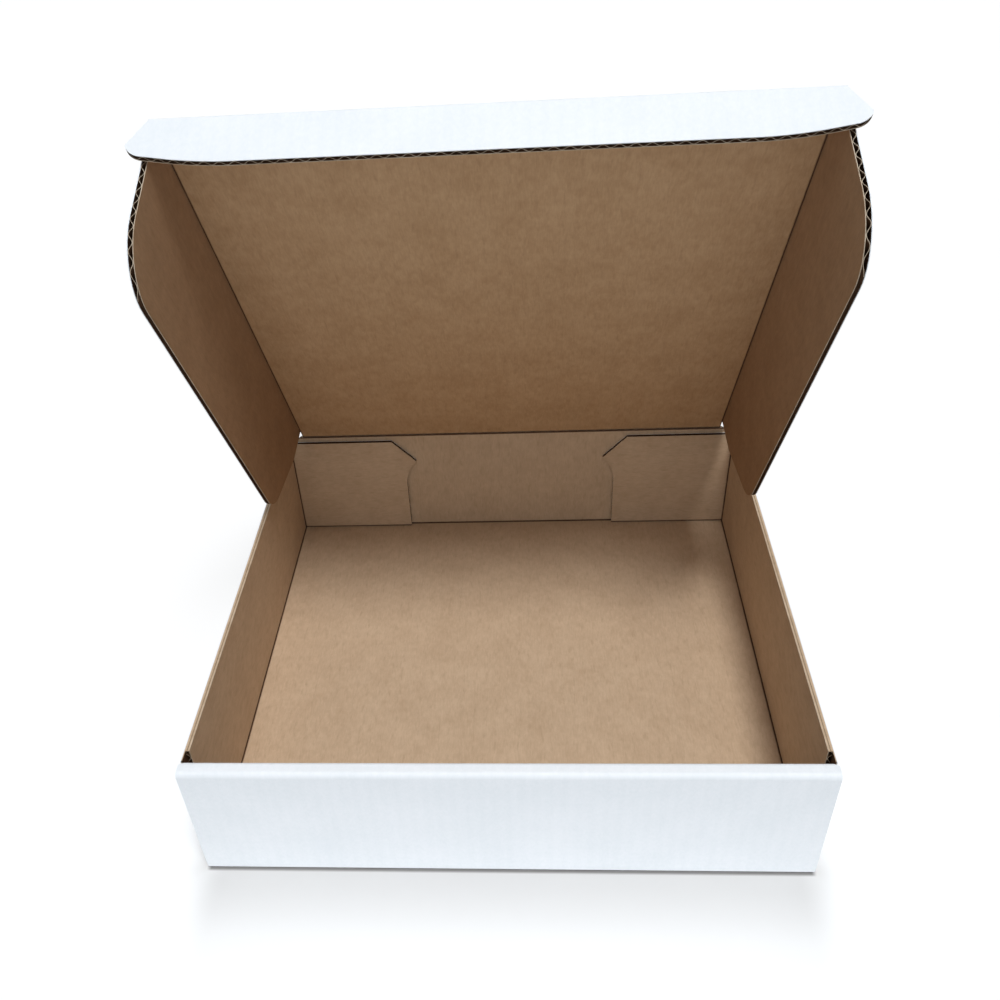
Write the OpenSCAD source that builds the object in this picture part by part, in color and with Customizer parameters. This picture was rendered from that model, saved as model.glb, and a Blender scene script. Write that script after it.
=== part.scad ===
// Folded cake box: one die-cut sheet of white-lined corrugated board.
// Millimetres. The origin is the middle of the underside of the base,
// +X is to the right, +Y to the back and +Z up. The lid stands open.

/* [Tray] */
// Outer width of the tray, left to right
box_w = 305; // [260:1:360]
// Outer depth of the tray, front to back
box_d = 296; // [250:1:350]
// Height of the two side walls
wall_h = 73.4; // [60:0.1:110]
// How far the rolled front wall stands above the side walls
front_rise = 1.2; // [0:0.1:2]
// How far the back wall stands above the side walls
back_rise = 3.5; // [2.5:0.1:6]
// Width of the slanted cut at each top corner of the back wall
back_cut_w = 10.5; // [4:0.1:11]
// Height of the slanted cut at each top corner of the back wall
back_cut_h = 7; // [3:0.1:12]

/* [Board] */
// Thickness of the corrugated board
board = 2.8; // [2.4:0.1:3.2]
// Thickness of each flat outer paper, the liner
liner = 0.35; // [0.25:0.05:0.5]
// Thickness of the waved paper between the liners
medium = 0.3; // [0.2:0.05:0.4]
// Length of one wave of the fluting
flute_pitch = 6.5; // [6:0.1:8]
// Length over which the fluting is crushed shut beside a crease
flute_crush = 3; // [2:0.1:6]
// Gap between two layers of board that are folded over each other
layer_gap = 0.3; // [0.2:0.05:0.5]
// Gap between two panels that meet at a crease
crease_gap = 0.15; // [0.1:0.05:0.3]

/* [Rolled front wall] */
// Gap between each end of the inner front panel and the side wall
roll_end_gap = 0.5; // [0.3:0.1:1.5]
// Length of the corner tabs held inside the rolled front wall
front_tab_len = 62; // [40:1:65]
// Room above and below the corner tabs inside the rolled front wall
front_tab_room = 0.5; // [0.3:0.1:2]
// Radius of the free top corner of those tabs
front_tab_r = 10; // [4:1:20]
// Width of each locking tab on the lower edge of the inner front panel
lock_w = 46; // [30:1:60]
// Distance of each locking tab from the middle of the box
lock_x = 75; // [50:1:85]
// Clearance round a locking tab in its slot in the base
lock_clear = 0.4; // [0.3:0.1:0.8]
// Height of a locking tab's end above the underside of the base
lock_end_z = 0.3; // [0.2:0.1:1]
// Length of the pocket behind the rolled front wall for each ear
pocket_len = 7; // [6:0.1:9]
// Depth of that pocket below the top of the side wall
pocket_h = 24; // [20:0.5:30]
// Board left at the outside of the pocket
pocket_skin = 0.7; // [0.5:0.1:1]

/* [Back corner tabs] */
// Length of a back corner tab to its straight end
tab_len = 78; // [50:0.5:100]
// How far the nose of the tab stands beyond the straight end
tab_nose = 7.9; // [4:0.1:12]
// Height of the nose below the top of the tab
tab_nose_drop = 15.9; // [10:0.1:24]
// Radius of the hollow below the nose
tab_hollow_r = 25.6; // [18:0.1:40]
// Gap between a back corner tab and the base
tab_floor_gap = 0.4; // [0.2:0.1:1.5]
// How far the open flutes reach in from a tab's cut end
flute_depth = 6; // [3:0.5:12]

/* [Lid] */
// Angle of the lid above its level position
lid_angle = 58.6; // [30:0.1:110]
// Room between a squared side flap and the side wall
lid_side_room = 5.75; // [5:0.05:10]
// Gap between the front flap and the rolled front wall when shut
tuck_clear = 1; // [0.9:0.05:2]
// Gap between the shut lid and the top of the rolled front wall
lid_seat = 0.3; // [0.2:0.05:1]

/* [Lid side flaps] */
// Angle by which each side flap leans out from square
flap_splay = 4.2; // [0:0.1:4.2]
// Gap between the free edge of a side flap and the base when shut
flap_floor_room = 1.6; // [1.2:0.1:10]
// Distance from the back crease to a side flap's rear edge, where it turns to its slant
flap_start = 11; // [9:0.5:25]
// Distance from the back crease to a side flap's rear edge, at the flap's own crease
flap_heel = 5.5; // [5:0.5:8]
// Gap between a side flap and the end of the lid panel
flap_front_gap = 1.6; // [1.2:0.1:5]
// Radius of the front corner of a side flap
flap_front_r = 28; // [10:0.5:40]
// Radius of the rear corner of a side flap
flap_rear_r = 22; // [8:0.5:26]
// How far the slanted rear edge runs forward, so that it clears the side wall's top
flap_rear_run = 27; // [10:0.5:32]
// Depth at which the slanted rear edge starts
flap_rear_start = 24; // [15:0.5:30]

/* [Lid front flap] */
// Depth of the front flap from the outer face of the lid
tuck_depth = 24; // [22:0.5:26]
// Gap between the tip of an ear and the skin of its pocket
ear_clear = 0.3; // [0.2:0.05:1]
// Depth of an ear's tip below the outer face of the lid
ear_drop = 14; // [12:0.1:15]
// Radius of an ear's tip
ear_tip_r = 1.5; // [1:0.5:3]
// How far the shoulder below the tip lies in from it
ear_shoulder_in = 3.2; // [2.5:0.1:5]
// Depth of that shoulder below the outer face of the lid
ear_shoulder_drop = 18.9; // [18:0.1:20]
// Radius of the shoulder
ear_shoulder_r = 8; // [4:0.5:10]
// Length from the tip to where the sweep meets the free edge
ear_sweep = 31.5; // [26:0.5:45]
// Radius of the curve in which they meet
ear_sweep_r = 150; // [40:10:200]

/* [Hidden] */
$fn = 48;
tray_white = [0.87, 0.90, 0.93];
lid_white = [0.94, 0.96, 0.98];
flap_kraft = [0.62, 0.50, 0.38];
half_board = board / 2;
cut = 1;
inner_x = box_w / 2 - board;
front_h = wall_h + front_rise;
back_h = wall_h + back_rise;
// The rolled front wall is three layers deep: outer panel, corner tabs and inner panel
roll_tab_y = board + layer_gap;
roll_inner_y = roll_tab_y + board + layer_gap;
roll_d = roll_inner_y + board;
roll_half_w = inner_x - roll_end_gap;
band_z = front_h - board;
front_tab_top = band_z - front_tab_room;
back_wall_y = box_d - board;
back_tab_y = back_wall_y - layer_gap - board;
pocket_x = box_w / 2 - pocket_skin;
// The lid's crease runs in the middle of the board's thickness
hinge_y = box_d - half_board;
hinge_z = back_h + crease_gap + half_board;
// Lengths along the lid are counted from that crease
tuck_u = hinge_y - roll_d - tuck_clear - half_board;
lid_len = tuck_u - crease_gap - half_board;
lid_half_w = inner_x - lid_side_room - board - crease_gap;
side_x = lid_half_w + crease_gap + half_board;
// Depths of the flaps are counted from their own creases
side_reach = front_h + lid_seat - board - flap_floor_room + half_board;
flap_end = lid_len - flap_front_gap;
tuck_reach = tuck_depth - half_board;
ear_x = pocket_x - ear_clear;
flute_wave = half_board - liner - medium / 2;

function unit(v) = v / norm(v);

// Arc of radius r in place of the corner p between the points a and b
function rounded(a, p, b, r, steps = 8) =
    let (
        to_a = unit(a - p),
        to_b = unit(b - p),
        half = acos(to_a * to_b) / 2,
        centre = p + unit(to_a + to_b) * r / sin(half),
        first = p + to_a * r / tan(half) - centre,
        last = p + to_b * r / tan(half) - centre,
        from = atan2(first.y, first.x),
        turn = (atan2(last.y, last.x) - from + 540) % 360 - 180
    )
    [for (i = [0 : steps]) centre + r * [cos(from + turn * i / steps), sin(from + turn * i / steps)]];

// Shifts a shape drawn from the front face so that the origin is in the middle
module from_front() {
    translate([0, -box_d / 2, 0]) children();
}

// Places a shape drawn on the level lid, with its crease at the origin
module on_lid() {
    from_front()
        translate([0, hinge_y, hinge_z])
            rotate([-lid_angle, 0, 0]) children();
}

// Quarter of a disc as thick as the board, in the quadrant with these signs
module quarter(sign_x, sign_y) {
    intersection() {
        circle(r = board);
        translate([min(sign_x, 0) * board * 2, min(sign_y, 0) * board * 2])
            square(board * 2);
    }
}

// Fold along X, centred on the inner crease at y and z
module fold_x(half_length, y, z, sign_y, sign_z) {
    translate([-half_length, y, z])
        rotate([90, 0, 90]) linear_extrude(2 * half_length) quarter(sign_y, sign_z);
}

// One open channel of the fluting: the space between the wave and a liner.
// The wave touches the liner over the pinched share of its length at each end.
module flute_cell() {
    pinch = 0.13;
    steps = 6;
    wave = [for (i = [0 : steps]) pinch + (1 - 2 * pinch) * i / steps];
    polygon(concat(
        [for (s = wave) [s * flute_pitch, flute_wave * cos(360 * s) + medium / 2]],
        [[(1 - pinch) * flute_pitch, half_board - liner], [pinch * flute_pitch, half_board - liner]]
    ));
}

// Section of the channels over a width along X, with the middle of the board at Y = 0
module flute_section(width) {
    count = floor(width / flute_pitch);
    start = (width - count * flute_pitch) / 2;
    for (i = [0 : count - 1])
        translate([start + i * flute_pitch, 0]) flute_cell();
    for (i = [0 : count - 2])
        translate([start + (i + 0.5) * flute_pitch, 0]) mirror([0, 1]) flute_cell();
}

// Bottom panel, its folds to the front and back walls and the slots for the locking tabs
module base() {
    difference() {
        translate([-inner_x, board, 0]) cube([2 * inner_x, box_d - 2 * board, board]);
        for (side = [-1, 1])
            translate([side * lock_x - lock_w / 2 - lock_clear, roll_inner_y - lock_clear, -cut])
                cube([lock_w + 2 * lock_clear, board + 2 * lock_clear, board + 2 * cut]);
    }
    fold_x(box_w / 2, board, board, -1, -1);
    fold_x(box_w / 2, back_wall_y, board, 1, -1);
}

// Plan of the band over the rolled front wall, which narrows to the inner panel
module band_plan() {
    polygon([
        [-box_w / 2, -cut], [box_w / 2, -cut], [box_w / 2, roll_inner_y], [roll_half_w, roll_d],
        [roll_half_w, roll_d + cut], [-roll_half_w, roll_d + cut], [-roll_half_w, roll_d],
        [-box_w / 2, roll_inner_y]
    ]);
}

// Outer front panel, the band over its top, the inner front panel and its locking tabs
module rolled_front() {
    translate([-box_w / 2, 0, board]) cube([box_w, board, band_z - board]);
    intersection() {
        union() {
            fold_x(box_w / 2, board, band_z, -1, 1);
            translate([-box_w / 2, board, band_z]) cube([box_w, roll_inner_y - board, board]);
            fold_x(box_w / 2, roll_inner_y, band_z, 1, 1);
        }
        translate([0, 0, band_z - cut]) linear_extrude(board + 2 * cut) band_plan();
    }
    translate([-roll_half_w, roll_inner_y, board + layer_gap])
        cube([2 * roll_half_w, board, band_z - board - layer_gap]);
    for (side = [-1, 1])
        translate([side * lock_x - lock_w / 2, roll_inner_y, lock_end_z])
            cube([lock_w, board, board + layer_gap - lock_end_z]);
}

// Back panel, which carries the lid's crease between its two cut corners
module back_wall() {
    half = box_w / 2;
    translate([0, box_d, 0])
        rotate([90, 0, 0])
            linear_extrude(board)
                polygon([
                    [-half, board], [half, board], [half, back_h - back_cut_h],
                    [half - back_cut_w, back_h], [back_cut_w - half, back_h],
                    [-half, back_h - back_cut_h]
                ]);
}

// Right side wall with its corner tabs, folded in at the front and at the back
module side_wall() {
    difference() {
        union() {
            translate([inner_x, roll_tab_y + board, board])
                cube([board, back_tab_y - roll_tab_y - board, wall_h - board]);
            translate([inner_x, back_wall_y - layer_gap, board])
                rotate([90, 0, 0])
                    linear_extrude(back_wall_y - board - 2 * layer_gap) quarter(1, -1);
            translate([inner_x, roll_tab_y + board, board])
                linear_extrude(wall_h - board) quarter(1, -1);
            translate([inner_x, back_tab_y, board])
                linear_extrude(wall_h - board) quarter(1, 1);
        }
        translate([inner_x - cut, 0, front_tab_top])
            cube([board + 2 * cut, roll_d + layer_gap, board * 2]);
        translate([inner_x - cut, roll_d, wall_h - pocket_h])
            cube([pocket_x - inner_x + cut, pocket_len, pocket_h + cut]);
    }
    front_tab();
    back_tab();
}

// Right front corner tab, held between the two layers of the rolled front wall
module front_tab() {
    low = board + front_tab_room;
    free_x = inner_x - front_tab_len;
    translate([0, roll_tab_y + board, 0])
        rotate([90, 0, 0])
            linear_extrude(board)
                polygon(concat(
                    [[inner_x, low], [inner_x, front_tab_top]],
                    rounded([inner_x, front_tab_top], [free_x, front_tab_top], [free_x, low], front_tab_r),
                    [[free_x, low]]
                ));
}

// Right back corner tab, folded in against the back wall and not glued
module back_tab() {
    low = board + tab_floor_gap;
    end_x = inner_x - tab_len;
    nose = [end_x - tab_nose, wall_h - tab_nose_drop];
    hollow_z = nose.y - sqrt(pow(tab_hollow_r, 2) - pow(tab_hollow_r - tab_nose, 2));
    difference() {
        translate([0, back_tab_y + board, 0])
            rotate([90, 0, 0])
                linear_extrude(board)
                    difference() {
                        polygon([
                            [inner_x, low], [end_x, low], [end_x, hollow_z], [nose.x, hollow_z],
                            nose, [nose.x + tab_nose_drop, wall_h], [inner_x, wall_h]
                        ]);
                        translate([end_x - tab_hollow_r, hollow_z]) circle(r = tab_hollow_r, $fn = 96);
                    }
        translate([end_x + flute_depth, back_tab_y + half_board, low])
            rotate([0, -90, 0])
                linear_extrude(flute_depth + tab_nose + cut) flute_section(wall_h - low);
    }
}

// Base, walls and corner tabs: one folded sheet
module tray() {
    color(tray_white)
        from_front() {
            base();
            rolled_front();
            back_wall();
            side_wall();
            mirror([1, 0, 0]) side_wall();
        }
}

// Top panel with its rounded back edge in the crease above the back wall
module lid_panel() {
    color(lid_white)
        on_lid() {
            translate([-lid_half_w, -lid_len, -half_board]) cube([2 * lid_half_w, lid_len, board]);
            translate([-lid_half_w, 0, 0])
                rotate([0, 90, 0]) cylinder(h = 2 * lid_half_w, r = half_board);
        }
}

// Outline of half the front flap, with its crease on the X axis and its ear on the right
function ear_outline() =
    let (
        crease_end = [side_x, 0],
        tip = [ear_x, half_board - ear_drop],
        shoulder = [ear_x - ear_shoulder_in, half_board - ear_shoulder_drop],
        sweep_end = [ear_x - ear_sweep, -tuck_reach]
    )
    concat(
        [crease_end],
        rounded(crease_end, tip, shoulder, ear_tip_r),
        rounded(tip, shoulder, sweep_end, ear_shoulder_r),
        rounded(shoulder, sweep_end, [0, -tuck_reach], ear_sweep_r)
    );

// Front flap laid flat, its crease on the X axis and its fluting open at the free edge
module tuck_flap_flat() {
    right = ear_outline();
    left = [for (i = [len(right) - 1 : -1 : 0]) [-right[i].x, right[i].y]];
    difference() {
        translate([0, 0, -half_board]) linear_extrude(board) polygon(concat(right, left));
        translate([-ear_x, -flute_crush, 0])
            rotate([90, 0, 0]) linear_extrude(tuck_reach) flute_section(2 * ear_x);
    }
    translate([-side_x, 0, 0]) rotate([0, 90, 0]) cylinder(h = 2 * side_x, r = half_board);
}

// Right side flap laid flat, its crease on the Y axis and its fluting open at both ends
module side_flap_flat() {
    rear_foot = [flap_rear_start, -flap_start];
    rear = [side_reach, -flap_start - flap_rear_run];
    front = [side_reach, -flap_end];
    difference() {
        translate([0, 0, -half_board])
            linear_extrude(board)
                polygon(concat(
                    [[0, -flap_heel], rear_foot],
                    rounded(rear_foot, rear, front, flap_rear_r),
                    rounded(rear, front, [0, -flap_end], flap_front_r, 14),
                    [[0, -flap_end]]
                ));
        translate([flute_crush, 0, 0])
            rotate([90, 0, 0]) linear_extrude(lid_len) flute_section(side_reach - flute_crush);
    }
    translate([0, -flap_heel, 0]) rotate([90, 0, 0]) cylinder(h = flap_end - flap_heel, r = half_board);
}

// Front flap, square to the lid
module lid_front_flap() {
    color(lid_white)
        on_lid()
            translate([0, -tuck_u, 0]) rotate([90, 0, 0]) tuck_flap_flat();
}

// Right side flap, which leans out a little from square
module lid_right_flap() {
    color(flap_kraft)
        on_lid()
            translate([side_x, 0, 0]) rotate([0, 90 - flap_splay, 0]) side_flap_flat();
}

// Left side flap, the mirror image of the right one
module lid_left_flap() {
    mirror([1, 0, 0]) lid_right_flap();
}

tray();
lid_panel();
lid_front_flap();
lid_left_flap();
lid_right_flap();
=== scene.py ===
# %% [markdown]
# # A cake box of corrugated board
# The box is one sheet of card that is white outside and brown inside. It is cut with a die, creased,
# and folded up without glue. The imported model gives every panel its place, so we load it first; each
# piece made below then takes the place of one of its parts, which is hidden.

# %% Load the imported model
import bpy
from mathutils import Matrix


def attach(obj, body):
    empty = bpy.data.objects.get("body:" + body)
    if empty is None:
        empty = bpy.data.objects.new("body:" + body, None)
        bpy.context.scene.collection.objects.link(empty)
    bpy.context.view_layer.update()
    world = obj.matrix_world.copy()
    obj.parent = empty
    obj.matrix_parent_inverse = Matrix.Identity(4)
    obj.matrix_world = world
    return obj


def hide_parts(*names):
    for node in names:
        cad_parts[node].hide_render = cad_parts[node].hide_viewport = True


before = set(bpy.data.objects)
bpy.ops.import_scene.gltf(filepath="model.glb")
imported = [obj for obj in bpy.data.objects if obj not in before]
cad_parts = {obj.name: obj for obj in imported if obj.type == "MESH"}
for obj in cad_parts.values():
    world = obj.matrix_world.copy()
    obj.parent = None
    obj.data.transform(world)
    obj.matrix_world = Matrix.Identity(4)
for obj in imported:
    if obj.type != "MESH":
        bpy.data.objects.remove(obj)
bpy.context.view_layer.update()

# %% [markdown]
# ## Sizes
# All lengths are in metres, and MM turns a plain millimetre into one. The names are those of the
# panels of the sheet. The lid's own drawing is level, with its crease on the X axis, and ON_LID lifts
# it to the angle at which it stands open.

# %% Sizes of the board and the panels
import math
import bmesh
import bpy
from mathutils import Matrix, Vector

MM = 0.001
BOARD = 2.8 * MM
HALF = BOARD / 2
LINER = 0.35 * MM
MEDIUM = 0.3 * MM
PITCH = 6.5 * MM
SIDE_X = 152.5 * MM
INNER_X = SIDE_X - BOARD
FRONT_Y = -148 * MM
BACK_Y = 148 * MM
WALL_Z = 73.4 * MM
FRONT_Z = 74.6 * MM
BACK_Z = 76.9 * MM
LAYER_GAP = 0.3 * MM
HINGE_Y = 146.6 * MM
HINGE_Z = 78.45 * MM
LID_ANGLE = math.radians(58.6)
LID_HALF_W = 141 * MM
LID_LEN = 281.65 * MM
TUCK_U = 283.2 * MM
FLAP_X = 142.55 * MM
FLAP_SPLAY = math.radians(4.2)
ON_LID = Matrix.Translation((0, HINGE_Y, HINGE_Z)) @ Matrix.Rotation(-LID_ANGLE, 4, "X")
# CREASE numbers the faces that get the dark brown of painted shade.
WHITE, KRAFT, CUT, CREASE = range(4)
print("the lid's front edge is at", [round(c / MM, 1) for c in ON_LID @ Vector((0, -LID_LEN, 0))], "mm")

# %% [markdown]
# ## One panel of board
# Corrugated board is two flat papers, the liners, with a waved one between them. We could paint that
# on the edge of a plain slab, but an open flute is a real hole that goes dark in its own shade, so each
# panel is made of the three papers. The faces inside the board, the waved paper's among them, are also
# given a dark brown as painted shade. A panel is drawn flat with its white side up: a face from a few
# points, its corners rounded by a vertex bevel, and then given its thickness by an extrusion.

# %% Helpers for flat shapes
def setback(a, p, b, radius):
    """How far from the corner p an arc of that radius starts."""
    half = (Vector(a) - Vector(p)).angle(Vector(b) - Vector(p)) / 2
    return radius / math.tan(half)


def flat_face(points, radii=None):
    """A bmesh with one face in the plane z = 0, with arcs at the numbered corners."""
    bm = bmesh.new()
    verts = [bm.verts.new((x, y, 0)) for x, y in points]
    bm.faces.new(verts)
    for i, radius in (radii or {}).items():
        back = setback(points[i - 1], points[i], points[(i + 1) % len(points)], radius)
        bmesh.ops.bevel(bm, geom=[verts[i]], affect="VERTICES", offset_type="OFFSET", offset=back,
                        segments=12, profile=0.5, material=-1)
    return bm


def thicken(bm, low, high):
    """Extrudes the flat shape from the height low to the height high."""
    bmesh.ops.translate(bm, verts=bm.verts[:], vec=(0, 0, low))
    new = bmesh.ops.extrude_face_region(bm, geom=bm.faces[:], use_keep_orig=True)["geom"]
    bmesh.ops.translate(bm, verts=[v for v in new if isinstance(v, bmesh.types.BMVert)],
                        vec=(0, 0, high - low))
    bmesh.ops.recalc_face_normals(bm, faces=bm.faces[:])
    return bm


def paint(bm, up, down, side=CUT):
    """Gives the faces that look up, down and sideways their material numbers."""
    bm.normal_update()
    for face in bm.faces:
        z = face.normal.z
        face.material_index = up if z > 0.5 else down if z < -0.5 else side
    return bm


def join(*parts):
    """Puts the parts together in the first one. All carry the mark that shows how near a line of painted shade
    is, by a crease or the foot of a tab.
    """
    for part in parts:
        if "crease" not in part.verts.layers.float:
            part.verts.layers.float.new("crease")
    whole = parts[0]
    for part in parts[1:]:
        mesh = bpy.data.meshes.new("part")
        part.to_mesh(mesh)
        whole.from_mesh(mesh)
        bpy.data.meshes.remove(mesh)
        part.free()
    return whole

# %% [markdown]
# The waved paper is a grid whose rows follow a cosine. It must end exactly at the panel's outline, and
# the Boolean modifier does that cut best, on two throwaway objects. The same helper cuts slots.

# %% Helpers for the fluting
def combine(bm, cutter, operation):
    """Boolean of two closed meshes; both are used up."""
    objects = []
    for part in (bm, cutter):
        mesh = bpy.data.meshes.new("work")
        part.to_mesh(mesh)
        part.free()
        objects.append(bpy.data.objects.new("work", mesh))
        bpy.context.scene.collection.objects.link(objects[-1])
    tool = objects[0].modifiers.new("cut", "BOOLEAN")
    tool.object, tool.operation, tool.solver = objects[1], operation, "EXACT"
    made = bpy.data.meshes.new_from_object(objects[0].evaluated_get(bpy.context.evaluated_depsgraph_get()))
    result = bmesh.new()
    result.from_mesh(made)
    for mesh in (made, objects[0].data, objects[1].data):
        bpy.data.meshes.remove(mesh)
    return result


def fluting(low, high, along):
    """The waved paper over the rectangle from low to high, its waves running along x or y."""
    size = [high[0] - low[0], high[1] - low[1]]
    across = 0 if along == "y" else 1
    steps = round(size[across] / PITCH * 12)
    cuts = [1, 1]
    cuts[across] = steps
    bm = bmesh.new()
    bmesh.ops.create_grid(bm, x_segments=cuts[0], y_segments=cuts[1], size=0.5)
    for v in bm.verts:
        v.co.x = low[0] + size[0] * (v.co.x + 0.5)
        v.co.y = low[1] + size[1] * (v.co.y + 0.5)
        v.co.z = (HALF - LINER - MEDIUM / 2) * math.cos(math.tau * v.co[across] / PITCH)
    bmesh.ops.solidify(bm, geom=bm.faces[:], thickness=MEDIUM * 0.9)
    middle = (max(v.co.z for v in bm.verts) + min(v.co.z for v in bm.verts)) / 2
    bmesh.ops.translate(bm, verts=bm.verts[:], vec=(0, 0, -middle))
    bmesh.ops.recalc_face_normals(bm, faces=bm.faces[:])
    return bm


def bar(start, end, depth, low, high):
    """A straight bar on the left of the line from start to end."""
    a, b = Vector(start), Vector(end)
    side = (b - a).normalized().orthogonal() * depth
    return thicken(flat_face([a, b, b + side, a + side]), low, high)


def block(low, high):
    """A plain box for cutting, between two opposite corners."""
    return thicken(flat_face([(low[0], low[1]), (high[0], low[1]), (high[0], high[1]), (low[0], high[1])]),
                   low[2], high[2])


def disc(centre, radius):
    """A round plug for cutting, through the whole board."""
    bm = bmesh.new()
    bmesh.ops.create_cone(bm, cap_ends=True, segments=96, radius1=radius, radius2=radius, depth=6 * BOARD)
    bmesh.ops.translate(bm, verts=bm.verts[:], vec=(*centre, 0))
    return bm

# %% [markdown]
# A panel then has its outer liner, its fluting and its inner liner. Along a crease the board is
# crushed: the flutes are shut, and the brown paper dips into a narrow groove, whose faces are painted
# dark brown as shade, with a strip of painted shade beside it. Every point also keeps its place on the
# flat sheet in a UV map, in tenths of a metre, with U across the flutes. The papers' patterns use it, so
# that they follow the board round every fold.

# %% The panel of board
panels_made = []


def lay_out(bm, along):
    """Writes each point's place on the flat sheet into the UV map, each panel on a stretch of its own."""
    panels_made.append(len(bm.faces))
    start = len(panels_made) * 60 * PITCH * 10
    layer = bm.loops.layers.uv.new("UVMap")
    for face in bm.faces:
        for loop in face.loops:
            x, y = loop.vert.co.x * 10, loop.vert.co.y * 10
            loop[layer].uv = (x + start, y) if along == "y" else (y + start, x)
    return bm


SHADE_STRIP = 1.3 * MM


def mark_painted_shade(bm, lines):
    """Marks the paper along the lines with 1, which falls to 0 over a narrow strip; the kraft paints shade
    there.
    """
    mark = bm.verts.layers.float.new("crease")
    sides = [(Vector(a), (Vector(b) - Vector(a)).normalized().orthogonal()) for a, b in lines]
    for a, inward in sides:
        bmesh.ops.bisect_plane(bm, geom=bm.verts[:] + bm.edges[:] + bm.faces[:], dist=1e-7,
                               plane_co=(*(a + inward * SHADE_STRIP), 0), plane_no=(*inward, 0))
    for v in bm.verts:
        if any(abs((v.co.xy - a).dot(inward)) < 0.1 * MM for a, inward in sides):
            v[mark] = 1
    return bm


def groove(bm, lines, z):
    """Bevels the liner's edges that lie on these crease lines at the height z."""
    picked = []
    for edge in bm.edges:
        middle = (edge.verts[0].co + edge.verts[1].co) / 2
        if abs(middle.z - z) > 1e-6 or abs(edge.verts[0].co.z - edge.verts[1].co.z) > 1e-6:
            continue
        for a, b in lines:
            along_line = Vector(b) - Vector(a)
            off = (middle.xy - Vector(a)).cross(along_line) / along_line.length
            share = (middle.xy - Vector(a)).dot(along_line) / along_line.length_squared
            if abs(off) < 1e-6 and -0.01 < share < 1.01:
                picked.append(edge)
                break
    if picked:
        made = bmesh.ops.bevel(bm, geom=picked, affect="EDGES", offset=LINER * 0.85, segments=2,
                               profile=0.5, material=-1)
        # The groove's faces get the dark brown of painted shade.
        for face in made["faces"]:
            face.material_index = CREASE
    return bm


def panel(points, radii=None, along="y", creases=(), shut=(), painted_shade=(), cutters=()):
    """One panel of board, flat, white side up. The outline runs anticlockwise. Creases, shut and the
    sides that get painted shade are numbers of its sides, and each cutter makes a shape that is taken
    away from all the papers."""
    # dark holds the sides along which shade is painted, as at the foot of a tab.
    lines, closed, dark = [[(points[i], points[(i + 1) % len(points)]) for i in sides]
                           for sides in (creases, shut, painted_shade)]
    low = [min(p[k] for p in points) for k in (0, 1)]
    high = [max(p[k] for p in points) for k in (0, 1)]
    outer = thicken(flat_face(points, radii), HALF - LINER, HALF)
    inner = thicken(flat_face(points, radii), -HALF, LINER - HALF)
    waves = combine(fluting([c - 2 * MM for c in low], [c + 2 * MM for c in high], along),
                    thicken(flat_face(points, radii), -HALF, HALF), "INTERSECT")
    plugs = [bar(a, b, 0.5 * MM, LINER - HALF, HALF - LINER) for a, b in lines + closed]
    papers = [outer, inner, waves, *plugs]
    for cutter in cutters:
        papers = [combine(paper, cutter(), "DIFFERENCE") for paper in papers]
    outer, inner, waves, *plugs = papers
    # Faces inside the board, and the waved paper's faces, get the dark brown of painted shade.
    paint(outer, WHITE, CREASE, WHITE)
    paint(inner, CREASE, KRAFT, CUT)
    for plug in plugs:
        paint(plug, KRAFT, KRAFT, KRAFT)
    waves.normal_update()
    for face in waves.faces:
        face.material_index = CUT if abs(face.normal[along == "y"]) > 0.3 else CREASE
    groove(mark_painted_shade(inner, lines + dark), lines, -HALF)
    return lay_out(join(outer, inner, waves, *plugs), along)

# %% [markdown]
# ## Folds
# Where the sheet turns a right angle it shows a quarter of a tube outside, white and round. A spin of
# one point makes the arc, the arc and its centre make a face, and an extrusion gives it its length.
# The lid's flaps turn on a full round edge instead, so that they can swing without opening a gap.

# %% Helpers for folds
def sharpen(bm):
    """Keeps the shading of the round faces apart from that of the flat ones beside them."""
    for edge in bm.edges:
        edge.smooth = all(face.smooth for face in edge.link_faces)
    return bm


def fold(length, shorten=0):
    """A quarter-round fold along x, which bulges to -y and -z from its inner crease on the x axis."""
    bm = bmesh.new()
    first = bm.verts.new((-length / 2, -BOARD, 0))
    bmesh.ops.spin(bm, geom=[first], cent=(-length / 2, 0, 0), axis=(1, 0, 0), angle=math.pi / 2, steps=20)
    arc = sorted(bm.verts, key=lambda v: v.co.y - v.co.z)
    bm.faces.new([bm.verts.new((-length / 2, 0, 0)), *arc])
    new = bmesh.ops.extrude_face_region(bm, geom=bm.faces[:], use_keep_orig=True)["geom"]
    bmesh.ops.translate(bm, verts=[v for v in new if isinstance(v, bmesh.types.BMVert)], vec=(length, 0, 0))
    for v in bm.verts:
        v.co.x -= math.copysign(shorten, v.co.x) * max(0, -v.co.y) / BOARD
    bmesh.ops.recalc_face_normals(bm, faces=bm.faces[:])
    bm.normal_update()
    for face in bm.faces:
        # The fold's faces inside the board get the dark brown of painted shade.
        end, outside = abs(face.normal.x) > 0.5, face.normal.y + face.normal.z < -0.5
        face.material_index = CUT if end else WHITE if outside else CREASE
        face.smooth = outside and not end
    return lay_out(sharpen(bm), "y")


def round_edge(length):
    """The rounded edge of a creased panel, along x, white above and brown below."""
    bm = bmesh.new()
    bmesh.ops.create_cone(bm, cap_ends=True, segments=48, radius1=HALF, radius2=HALF, depth=length)
    bmesh.ops.rotate(bm, verts=bm.verts[:], matrix=Matrix.Rotation(math.pi / 2, 3, "Y"))
    bm.normal_update()
    for face in bm.faces:
        # Its lower side gets the dark brown of painted shade.
        face.material_index = CUT if abs(face.normal.x) > 0.5 else WHITE if face.normal.z > -0.2 else CREASE
        face.smooth = len(face.verts) == 4
    return lay_out(sharpen(bm), "y")


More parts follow.
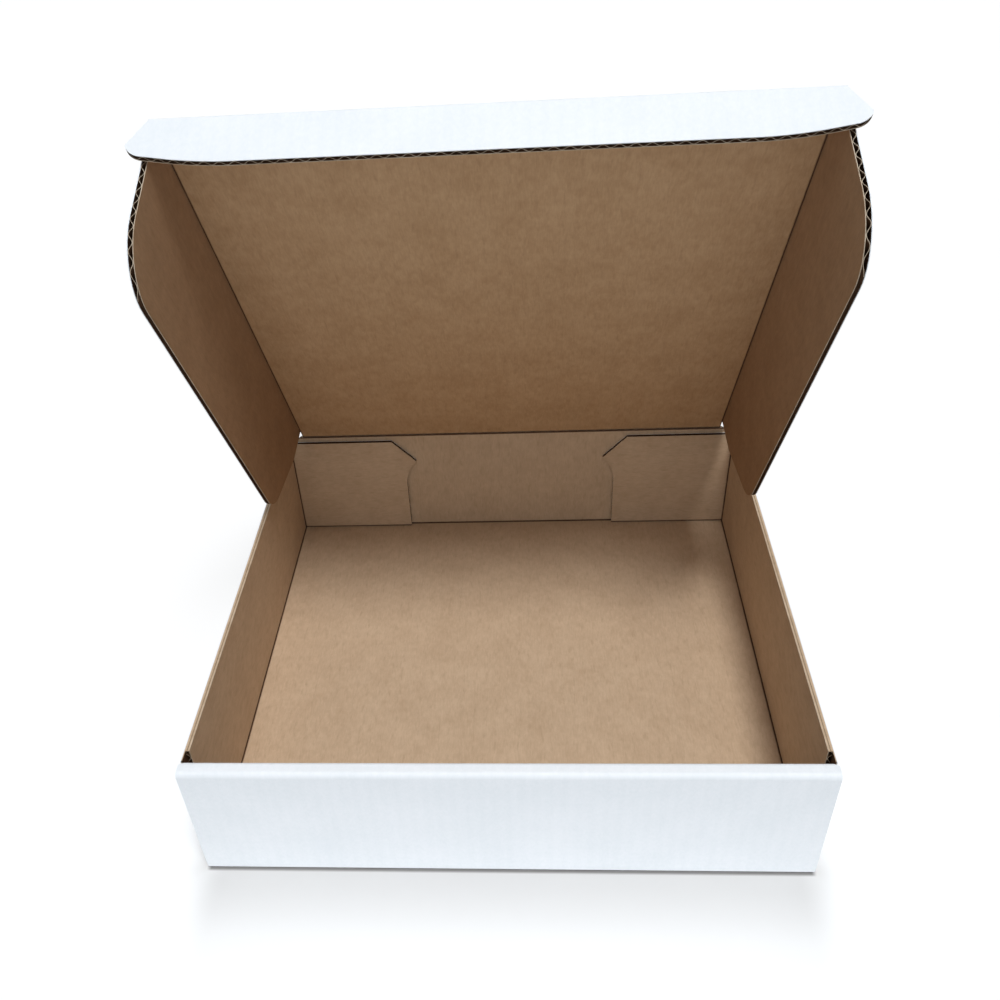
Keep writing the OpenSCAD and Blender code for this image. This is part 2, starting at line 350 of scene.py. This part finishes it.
def placed(bm, origin, across, up):
    """Turns a flat part so that its x runs across and its y up, with its white side outwards."""
    x, y = Vector(across), Vector(up)
    turn = Matrix((x, y, x.cross(y))).transposed().to_4x4()
    bm.transform(Matrix.Translation(Vector(origin)) @ turn)
    return bm


def mirrored(bm):
    """A mirror image across the middle of the box, with its faces turned outwards again."""
    twin = bm.copy()
    twin.transform(Matrix.Scale(-1, 4, (1, 0, 0)))
    bmesh.ops.reverse_faces(twin, faces=twin.faces[:])
    return twin

# %% [markdown]
# ## Colours of paper
# Shader arithmetic is easier to read as Python, so a Wire stands for a socket and adds Math nodes when
# it is added, multiplied and so on. Every other node comes from one method of the Finish class, which
# takes the node's type, its settings and the values or wires of its sockets.

# %% Helpers for materials
class Wire:
    """An output socket whose arithmetic adds Math nodes."""

    def __init__(self, finish, socket):
        self.finish, self.socket = finish, socket

    def math(self, operation, first, second=0.5):
        return self.finish.node("ShaderNodeMath", {"operation": operation}, {0: first, 1: second})

    def __add__(self, other):
        return self.math("ADD", self, other)

    def __sub__(self, other):
        return self.math("SUBTRACT", self, other)

    def __rsub__(self, other):
        return self.math("SUBTRACT", other, self)

    def __mul__(self, other):
        return self.math("MULTIPLY", self, other)

    __radd__, __rmul__ = __add__, __mul__

    def above(self, low, high):
        """0 below low, 1 above high and a smooth step between."""
        return self.finish.node("ShaderNodeMapRange", {"interpolation_type": "SMOOTHSTEP"},
                                {"Value": self, "From Min": low, "From Max": high})


class Finish:
    """A material, or the sky, that starts empty."""

    def __init__(self, name, sky=None):
        self.material = sky or bpy.data.materials.new(name)
        self.material.use_nodes = True
        self.nodes, self.links = self.material.node_tree.nodes, self.material.node_tree.links
        self.nodes.clear()

    def node(self, kind, settings=None, sockets=None, output=0):
        made = self.nodes.new(kind)
        for name, value in (settings or {}).items():
            if name == "stops":
                for stop, (place, colour) in zip(made.color_ramp.elements, value):
                    stop.position, stop.color = place, colour
            else:
                setattr(made, name, value)
        for name, value in (sockets or {}).items():
            if isinstance(value, Wire):
                self.links.new(value.socket, made.inputs[name])
            else:
                made.inputs[name].default_value = value
        return Wire(self, made.outputs[output]) if made.outputs else None

    def sheet(self, stretch_u=1, stretch_v=1):
        """The place on the flat sheet, stretched for a pattern that is longer one way."""
        place = self.node("ShaderNodeUVMap", {"uv_map": "UVMap"})
        return self.node("ShaderNodeVectorMath", {"operation": "MULTIPLY"},
                         {0: place, 1: (stretch_u, stretch_v, 1)})

    def noise(self, place, scale, detail=2, rough=0.5):
        return self.node("ShaderNodeTexNoise", {"noise_dimensions": "3D"},
                         {"Vector": place, "Scale": scale, "Detail": detail, "Roughness": rough})

    def mix(self, factor, a, b):
        return self.node("ShaderNodeMix", {"data_type": "RGBA"}, {0: factor, 6: a, 7: b}, output=2)

    def flute_lines(self):
        """A wave from 0 to 1 that follows the flutes under the paper."""
        across = self.node("ShaderNodeSeparateXYZ", None, {0: self.sheet()})
        return across.math("COSINE", across * (math.tau / (PITCH * 10))) * 0.5 + 0.5

    def finish(self, colour, roughness, height, distance, strength=1.0, specular=0.5):
        bump = self.node("ShaderNodeBump", None, {"Height": height, "Distance": distance, "Strength": strength})
        shader = self.node("ShaderNodeBsdfPrincipled", None, {
            "Base Color": colour, "Roughness": roughness, "Normal": bump, "Specular IOR Level": specular})
        self.node("ShaderNodeOutputMaterial", None, {"Surface": shader})
        return self.material


def srgb(text):
    """A screen colour such as 'b49a7e' as linear light."""
    parts = [int(text[i:i + 2], 16) / 255 for i in (0, 2, 4)]
    return (*[c / 12.92 if c <= 0.04045 else ((c + 0.055) / 1.055) ** 2.4 for c in parts], 1)

# %% White coated paper
def white_paper():
    f = Finish("white_coated_paper")
    cloud = f.noise(f.sheet(), 3, 4, 0.6)
    grain = f.noise(f.sheet(1, 0.6), 70, 3, 0.6)
    lines = f.flute_lines()
    shade = cloud * 0.5 + grain * 0.45 + lines * 0.05
    colour = f.mix(shade.above(0.25, 0.75), srgb("e9eef2"), srgb("f3f6fa"))
    return f.finish(colour, grain * 0.1 + 0.5, lines * 0.08 + grain * 0.12 + cloud * 0.2, 0.0001, 0.4, 0.4)


WHITE_PAPER = white_paper()
print("made", WHITE_PAPER.name)

# %% [markdown]
# The brown inner paper is unbleached. It is clouded at the width of a hand, mottled at a few
# millimetres, and has short darker fibres that lie along the flutes. Where the waved paper is glued
# behind it, a faint line of small dark strokes shows through. Beside each crease and along the foot of
# the back tabs it has painted shade, a mottled dark strip.

# %% Brown kraft paper
def kraft_paper(name, light, dark, speck, painted_shade):
    f = Finish(name)
    cloud = f.noise(f.sheet(), 5, 3)
    mottle = f.noise(f.sheet(1, 0.6), 26, 4, 0.65)
    fibre = f.noise(f.sheet(1, 0.16), 120, 3, 0.6)
    lines = f.flute_lines()
    strokes = f.noise(f.sheet(1, 0.2), 70, 2)
    tone = cloud * 0.3 + mottle * 0.4 + fibre * 0.3
    colour = f.mix(tone.above(0.30, 0.70), dark, light)
    colour = f.mix(strokes.above(0.50, 0.68) * lines * 0.16, colour, speck)
    colour = f.mix(f.noise(f.sheet(), 150, 1).above(0.64, 0.74) * 0.14, colour, speck)
    # Painted shade: a darker brown strip beside the creases and along the back tabs' foot, broken up by the
    # mottle.
    near = f.node("ShaderNodeAttribute", {"attribute_name": "crease"}, output=2)
    colour = f.mix((near + mottle * 0.5).above(0.35, 1.0) * 0.9, colour, painted_shade)
    return f.finish(colour, mottle * 0.15 + 0.72, lines * 0.35 + fibre * 0.3 + mottle * 0.2, 0.00012, 0.5, 0.3)


# The next colour is painted shade, for the strip beside each crease and along the back tabs' foot.
PAINTED_SHADE_BROWN = srgb("4a2e1b")
KRAFT_PAPER = kraft_paper("brown_kraft_paper", srgb("d2b89b"), srgb("bea386"), srgb("8f7156"), PAINTED_SHADE_BROWN)
# The lid with its front flap, and the side flaps, get darker copies of the same kraft. This is painted shade
# for their insides, which lean away from the light.
LID_SHADED_KRAFT = kraft_paper("lid_shaded_kraft_paper", srgb("c7a580"), srgb("b08d68"), srgb("866545"), PAINTED_SHADE_BROWN)
FLAP_SHADED_KRAFT = kraft_paper("flap_shaded_kraft_paper", srgb("ad8a69"), srgb("997859"), srgb("70533a"), PAINTED_SHADE_BROWN)
CUT_PAPER = kraft_paper("cut_paper_edge", srgb("d2c3ae"), srgb("a8947c"), srgb("6e5a45"), PAINTED_SHADE_BROWN)
# This dark brown is painted shade. It goes in crease grooves, on the waved paper, on faces hidden inside the
# board and the folds, and under the round edges.
HOLLOW_SHADE_PAPER = kraft_paper("hollow_shade_kraft_paper", srgb("60422c"), srgb("44301f"), srgb("2e2014"), PAINTED_SHADE_BROWN)
PAPERS = [WHITE_PAPER, KRAFT_PAPER, CUT_PAPER, HOLLOW_SHADE_PAPER]
print("made", [m.name for m in PAPERS[1:]])

# %% Helper that makes a finished piece
def piece(bm, name, body, node, kraft=KRAFT_PAPER):
    """Makes the object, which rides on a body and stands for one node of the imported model."""
    mesh = bpy.data.meshes.new(name)
    bm.normal_update()
    bm.to_mesh(mesh)
    bm.free()
    for paper in PAPERS:
        mesh.materials.append(kraft if paper == KRAFT_PAPER else paper)
    made = bpy.data.objects.new(name, mesh)
    bpy.context.scene.collection.objects.link(made)
    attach(made, body)
    if node:
        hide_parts(node)
    print(name, len(mesh.polygons), "faces")
    return made

# %% [markdown]
# ## The tray
# The base lies with its white side down. Two slots near its front edge take the locking tabs of the
# rolled front wall.

# %% Base with its folds
X, Y, Z = (1, 0, 0), (0, 1, 0), (0, 0, 1)
LEFT, DOWN, FORWARD = (-1, 0, 0), (0, 0, -1), (0, -1, 0)
FRONT_IN, BACK_IN = FRONT_Y + BOARD, BACK_Y - BOARD
ROLL_TAB_Y = FRONT_IN + LAYER_GAP
ROLL_INNER_Y = ROLL_TAB_Y + BOARD + LAYER_GAP
ROLL_END_Y = ROLL_INNER_Y + BOARD
ROLL_HALF_W = INNER_X - 0.5 * MM
BACK_TAB_Y = BACK_IN - LAYER_GAP - BOARD
LOCK_X, LOCK_HALF, LOCK_CLEAR = 75 * MM, 23 * MM, 0.4 * MM
base_outline = [(-INNER_X, FRONT_IN), (INNER_X, FRONT_IN), (INNER_X, BACK_IN), (-INNER_X, BACK_IN)]


def lock_slot(middle):
    reach = LOCK_HALF + LOCK_CLEAR
    return lambda: block((middle - reach, ROLL_INNER_Y - LOCK_CLEAR, -BOARD),
                         (middle + reach, ROLL_END_Y + LOCK_CLEAR, BOARD))


base = placed(panel(base_outline, creases=(0, 1, 2, 3), cutters=(lock_slot(-LOCK_X), lock_slot(LOCK_X))),
              (0, 0, HALF), LEFT, Y)
base_folds = join(placed(fold(2 * SIDE_X), (0, FRONT_IN, BOARD), X, Y),
                  placed(fold(2 * SIDE_X), (0, BACK_IN, BOARD), LEFT, FORWARD))
print("base", len(base.faces), "faces; its folds", len(base_folds.faces))

# %% [markdown]
# The front wall is rolled over: an outer panel, a narrow band on top, and an inner panel whose white
# side looks into the tray. The band's ends are cut slanting, and the inner panel carries the two tabs.

# %% Rolled front wall
BAND_Z = FRONT_Z - BOARD
low_z, lock_z = BOARD + LAYER_GAP, 0.3 * MM
outer_front = placed(panel([(-SIDE_X, BOARD), (SIDE_X, BOARD), (SIDE_X, BAND_Z), (-SIDE_X, BAND_Z)],
                           creases=(0, 2)), (0, FRONT_Y + HALF, 0), X, Z)
band = placed(panel([(-SIDE_X, FRONT_IN), (SIDE_X, FRONT_IN), (SIDE_X, ROLL_INNER_Y), (-SIDE_X, ROLL_INNER_Y)],
                    creases=(0, 2)), (0, 0, FRONT_Z - HALF), X, Y)
roll_front = placed(fold(2 * SIDE_X), (0, FRONT_IN, BAND_Z), LEFT, Y)
roll_back = placed(fold(2 * SIDE_X, SIDE_X - ROLL_HALF_W), (0, ROLL_INNER_Y, BAND_Z), X, FORWARD)
a, b = LOCK_X - LOCK_HALF, LOCK_X + LOCK_HALF
lock_outline = [(-ROLL_HALF_W, low_z), (-b, low_z), (-b, lock_z), (-a, lock_z), (-a, low_z), (a, low_z),
                (a, lock_z), (b, lock_z), (b, low_z), (ROLL_HALF_W, low_z), (ROLL_HALF_W, BAND_Z),
                (-ROLL_HALF_W, BAND_Z)]
inner_front = placed(panel(lock_outline, creases=(10,)), (0, ROLL_INNER_Y + HALF, 0), LEFT, Z)
front_wall = join(outer_front, band, roll_front, roll_back, inner_front)
print("rolled front wall", len(front_wall.faces), "faces")

# %% [markdown]
# Each side wall is held by its two corner tabs. The front one is hidden inside the rolled wall. The
# back one lies against the back wall, ends in a nose with a hollow below it, and shows its flutes.
# A thin pocket behind the rolled wall takes the lid's ear.

# %% Side wall and front corner tab
notch_y, notch_z = ROLL_END_Y + LAYER_GAP, BAND_Z - 0.5 * MM
front_edge = ROLL_TAB_Y + BOARD
POCKET_DEEP, POCKET_LONG, POCKET_SKIN = 24 * MM, 7 * MM, 0.7 * MM
wall_outline = [(front_edge, BOARD), (BACK_TAB_Y, BOARD), (BACK_TAB_Y, WALL_Z), (notch_y, WALL_Z),
                (notch_y, notch_z), (front_edge, notch_z)]


def ear_pocket():
    return block((ROLL_END_Y, WALL_Z - POCKET_DEEP, -BOARD),
                 (ROLL_END_Y + POCKET_LONG, WALL_Z + MM, HALF - POCKET_SKIN))


wall = placed(panel(wall_outline, along="x", creases=(0, 1, 5), shut=(2, 3, 4), cutters=(ear_pocket,)),
              (SIDE_X - HALF, 0, 0), Y, Z)
wall_fold = placed(fold(BACK_IN - FRONT_IN - 2 * LAYER_GAP), (INNER_X, 0, BOARD), Y, LEFT)
front_fold = placed(fold(notch_z - BOARD), (INNER_X, front_edge, (notch_z + BOARD) / 2), Z, Y)
back_fold = placed(fold(WALL_Z - BOARD), (INNER_X, BACK_TAB_Y, (WALL_Z + BOARD) / 2), DOWN, FORWARD)
FRONT_TAB_LONG, FRONT_TAB_R = 62 * MM, 10 * MM
tab_x, tab_z = INNER_X - FRONT_TAB_LONG, BOARD + 0.5 * MM
front_tab = placed(panel([(tab_x, tab_z), (INNER_X, tab_z), (INNER_X, notch_z), (tab_x, notch_z)],
                         {3: FRONT_TAB_R}, along="x", creases=(1,)), (0, ROLL_TAB_Y + HALF, 0), X, Z)
right_side = join(wall, wall_fold, front_fold, back_fold, front_tab)
print("side wall", len(right_side.faces), "faces")

# %% Back corner tab
TAB_NOSE, NOSE_DROP, HOLLOW_R, BACK_TAB_LONG = 7.9 * MM, 15.9 * MM, 25.6 * MM, 78 * MM
tab_end, tab_low, nose_z = INNER_X - BACK_TAB_LONG, BOARD + 0.4 * MM, WALL_Z - NOSE_DROP
hollow_z = nose_z - math.sqrt(HOLLOW_R ** 2 - (HOLLOW_R - TAB_NOSE) ** 2)
nose_x = tab_end - TAB_NOSE
tab_outline = [(-INNER_X, tab_low), (-tab_end, tab_low), (-tab_end, hollow_z), (-nose_x, hollow_z),
               (-nose_x, nose_z), (-nose_x - NOSE_DROP, WALL_Z), (-INNER_X, WALL_Z)]
# Its foot gets a strip of painted shade, for the shadow under the tab.
back_tab = placed(panel(tab_outline, along="x", creases=(6,), painted_shade=(0,),
                        cutters=(lambda: disc((HOLLOW_R - tab_end, hollow_z), HOLLOW_R),)),
                  (0, BACK_TAB_Y + HALF, 0), LEFT, Z)
right_side = join(right_side, back_tab)
print("back tab: nose at", round(nose_z / MM, 1), "mm, middle of the hollow at", round(hollow_z / MM, 1), "mm")

# %% Back wall, and the whole tray
CORNER_W, CORNER_H = 10.5 * MM, 7 * MM
back_outline = [(-SIDE_X, BOARD), (SIDE_X, BOARD), (SIDE_X, BACK_Z - CORNER_H), (SIDE_X - CORNER_W, BACK_Z),
                (CORNER_W - SIDE_X, BACK_Z), (-SIDE_X, BACK_Z - CORNER_H)]
back_wall = placed(panel(back_outline, creases=(0, 3)), (0, BACK_IN + HALF, 0), LEFT, Z)
left_side = mirrored(right_side)
tray = piece(join(base, base_folds, front_wall, right_side, left_side, back_wall),
             "tray_board", "tray", "tray")

# %% [markdown]
# ## The lid
# The lid's panel, its front flap and its two side flaps are drawn flat and then lifted to where they
# stand. Their free edges are cut straight through the flutes, so they show a row of small dark holes.

# %% Lid panel
lid_outline = [(-LID_HALF_W, -LID_LEN), (LID_HALF_W, -LID_LEN), (LID_HALF_W, 0), (-LID_HALF_W, 0)]
lid = join(panel(lid_outline, creases=(0, 1, 3)), round_edge(2 * LID_HALF_W))
lid.transform(ON_LID)
lid_panel = piece(lid, "lid_board", "lid", "lid_panel", LID_SHADED_KRAFT)

# %% Front flap with its two ears
TUCK_REACH = 24 * MM - HALF
EAR_X, EAR_DROP = 151.5 * MM, 14 * MM
SHOULDER_IN, SHOULDER_DROP, SWEEP_IN = 3.2 * MM, 18.9 * MM, 31.5 * MM
tip, shoulder = (EAR_X, HALF - EAR_DROP), (EAR_X - SHOULDER_IN, HALF - SHOULDER_DROP)
sweep = (EAR_X - SWEEP_IN, -TUCK_REACH)
half = [(FLAP_X, 0), tip, shoulder, sweep]
tuck_outline = [(-x, y) for x, y in half] + [(x, y) for x, y in reversed(half)]
tip_r, shoulder_r, sweep_r = 1.5 * MM, 8 * MM, 150 * MM
tuck = panel(tuck_outline, {1: tip_r, 2: shoulder_r, 3: sweep_r, 4: sweep_r, 5: shoulder_r, 6: tip_r},
             creases=(7,))
tuck = join(tuck, round_edge(2 * FLAP_X))
tuck.transform(ON_LID @ Matrix.Translation((0, -TUCK_U, 0)) @ Matrix.Rotation(math.pi / 2, 4, "X"))
front_flap = piece(tuck, "front_flap_board", "front_flap", "lid_front_flap", LID_SHADED_KRAFT)

# %% Side flaps
SIDE_REACH = 71.9 * MM
FLAP_HEEL, FLAP_START, FLAP_END = 5.5 * MM, 11 * MM, LID_LEN - 1.6 * MM
SLANT_RUN, SLANT_START, FLAP_FRONT_R, FLAP_REAR_R = 27 * MM, 24 * MM, 28 * MM, 22 * MM
flap_outline = [(0, -FLAP_HEEL), (0, -FLAP_END), (SIDE_REACH, -FLAP_END),
                (SIDE_REACH, -FLAP_START - SLANT_RUN), (SLANT_START, -FLAP_START)]
flap = panel(flap_outline, {2: FLAP_FRONT_R, 3: FLAP_REAR_R}, creases=(0,))
flap_edge = round_edge(FLAP_END - FLAP_HEEL)
bmesh.ops.rotate(flap_edge, verts=flap_edge.verts[:], matrix=Matrix.Rotation(math.pi / 2, 3, "Z"))
bmesh.ops.translate(flap_edge, verts=flap_edge.verts[:], vec=(0, -(FLAP_HEEL + FLAP_END) / 2, 0))
flap = join(flap, flap_edge)
flap.transform(ON_LID @ Matrix.Translation((FLAP_X, 0, 0)) @ Matrix.Rotation(math.pi / 2 - FLAP_SPLAY, 4, "Y"))
left_flap = piece(mirrored(flap), "left_flap_board", "left_flap", "lid_left_flap", FLAP_SHADED_KRAFT)
right_flap = piece(flap, "right_flap_board", "right_flap", "lid_right_flap", FLAP_SHADED_KRAFT)

# %% [markdown]
# ## Camera, light and floor
# The camera's place, angle and lens were found by fitting the box's corners to the photograph. Its
# shift is the part of the frame by which the picture is off the middle of the lens.

# %% Camera
FOCAL_PX, CENTRE_X, CENTRE_Y, FRAME_PX = 1004.796, 457.3, 597.37, 1000
YAW, PITCH_DOWN, ROLL = -0.10047, 0.70621, -0.07628
EYE = Vector((16.284, -442.965, 435.178)) * MM
forward = Vector((math.sin(YAW) * math.cos(PITCH_DOWN), math.cos(YAW) * math.cos(PITCH_DOWN),
                  -math.sin(PITCH_DOWN)))
level = Vector((math.cos(YAW), -math.sin(YAW), 0))
upward = level.cross(forward)
right = math.cos(ROLL) * level + math.sin(ROLL) * upward
top = math.cos(ROLL) * upward - math.sin(ROLL) * level
lens = bpy.data.cameras.new("camera")
lens.sensor_width = 36
lens.lens = FOCAL_PX / FRAME_PX * lens.sensor_width
lens.shift_x, lens.shift_y = (500 - CENTRE_X) / FRAME_PX, (CENTRE_Y - 500) / FRAME_PX
lens.clip_start, lens.clip_end = 0.01, 50
camera = bpy.data.objects.new("camera", lens)
camera.matrix_world = Matrix.Translation(EYE) @ Matrix((right, top, -forward)).transposed().to_4x4()
bpy.context.scene.collection.objects.link(camera)
bpy.context.scene.camera = camera
print("lens", round(lens.lens, 2), "mm, shift", lens.shift_x, lens.shift_y)

# %% [markdown]
# The light is that of a studio: a soft sun from high up on the front right, a weak fill from the front,
# a weak rear light, and a bluish sky that is brightest overhead. The camera sees plain white in place
# of that sky.

# %% Light
def soft_sun(name, azimuth, elevation, angle, share, colour):
    """A sun as wide as its angle. A white page square to it shines at this share of full white."""
    data = bpy.data.lights.new(name, "SUN")
    data.energy, data.angle, data.color = share * math.pi, math.radians(angle), colour
    turn, rise = math.radians(azimuth), math.radians(elevation)
    towards = Vector((math.sin(turn) * math.cos(rise), -math.cos(turn) * math.cos(rise), math.sin(rise)))
    sun = bpy.data.objects.new(name, data)
    sun.matrix_world = towards.to_track_quat("Z", "Y").to_matrix().to_4x4()
    bpy.context.scene.collection.objects.link(sun)


soft_sun("top_light", 24, 69.5, 18, 0.62, (0.98, 0.99, 1))
soft_sun("fill_light", 0, 20, 40, 0.12, (0.95, 0.98, 1))
soft_sun("rear_light", 180, 72, 28, 0.12, (1, 1, 1))
sky = Finish("sky", bpy.data.worlds.new("sky"))
height = sky.node("ShaderNodeSeparateXYZ", None, {0: sky.node("ShaderNodeTexCoord")}, output=2)
strength = height.math("MAXIMUM", height, 0) * 0.32 + 0.12
seen = sky.node("ShaderNodeLightPath")
glow = sky.node("ShaderNodeBackground", None, {
    "Color": sky.mix(seen, (0.9, 0.95, 1, 1), (1, 1, 1, 1)), "Strength": strength + seen * (1 - strength)})
sky.node("ShaderNodeOutputWorld", None, {"Surface": glow})
bpy.context.scene.world = sky.material
bpy.context.scene.view_settings.view_transform = "Standard"
print("three suns and a sky")

# %% [markdown]
# The floor is dull card to the light, so that it does not glare on the box from below. In front of the
# box it is paler, with a weak painted glow that lights the front wall. To the camera it is white, with
# the box's shadow on it and a little glow of its own behind the box. Painted on it are a soft shade in
# front of the box and a thin dark contact shadow at the foot of the front wall.

# %% Floor
white_floor = Finish("white_floor")
seen = white_floor.node("ShaderNodeLightPath")
place = white_floor.node("ShaderNodeTexCoord", output=3)
x, y = [white_floor.node("ShaderNodeSeparateXYZ", None, {0: place}, output=i) for i in (0, 1)]
behind = y.above(0.13, 0.15) * (1 - y.above(0.2, 0.35)) * (1 - x.math("ABSOLUTE", x).above(0.145, 0.175))
back = y.above(-0.15, 0.05) * (1 - behind)
before = y.above(-0.6, -0.2) * (1 - y.above(-0.15, -0.12))
near = y.above(-0.28, -0.17) * before
# To the light the floor is paler in front of the box. A strip there also has a weak painted glow that lights
# the front wall.
floor_bounce_glow = white_floor.node("ShaderNodeBsdfPrincipled", None, {
    "Base Color": white_floor.mix(before, (0.42, 0.43, 0.44, 1), (0.92, 0.92, 0.92, 1)), "Roughness": 0.9,
    "Emission Color": (1, 1, 1, 1), "Emission Strength": near * 0.12})
from_middle = x.math("ABSOLUTE", x)
beside = from_middle.above(0.143, 0.167)
# Painted soft shade on the floor in front of the box.
painted_front_shade = (y.above(-0.225, -0.17) * 0.4 + y.above(-0.19, -0.142) * 0.42) * (1 - beside)
# Painted contact shadow: a thin dark line at the foot of the front wall.
painted_contact_shadow = y.above(-0.1498, -0.1478) * (1 - y.above(-0.14, -0.13)) * (1 - from_middle.above(0.151, 0.154))
page = white_floor.mix(back, (0.97, 0.97, 0.97, 1), (0.3, 0.3, 0.3, 1))
page = white_floor.mix(painted_front_shade * (1 - back), page, (0.56, 0.55, 0.54, 1))
page = white_floor.mix(painted_contact_shadow, page, (0.2, 0.19, 0.185, 1))
shown = white_floor.node("ShaderNodeBsdfPrincipled", None, {
    "Base Color": page, "Roughness": 0.9, "Specular IOR Level": 0,
    "Emission Color": (1, 1, 1, 1), "Emission Strength": back * 0.66 + 0.04})
both = white_floor.node("ShaderNodeMixShader", None, {0: seen, 1: floor_bounce_glow, 2: shown})
white_floor.node("ShaderNodeOutputMaterial", None, {"Surface": both})
FLOOR_HALF = 12
floor_bm = bmesh.new()
bmesh.ops.create_grid(floor_bm, x_segments=1, y_segments=1, size=FLOOR_HALF)
floor_mesh = bpy.data.meshes.new("floor")
floor_bm.to_mesh(floor_mesh)
floor_bm.free()
floor_mesh.materials.append(white_floor.material)
floor = bpy.data.objects.new("floor", floor_mesh)
bpy.context.scene.collection.objects.link(floor)
print("floor", 2 * FLOOR_HALF, "m wide")
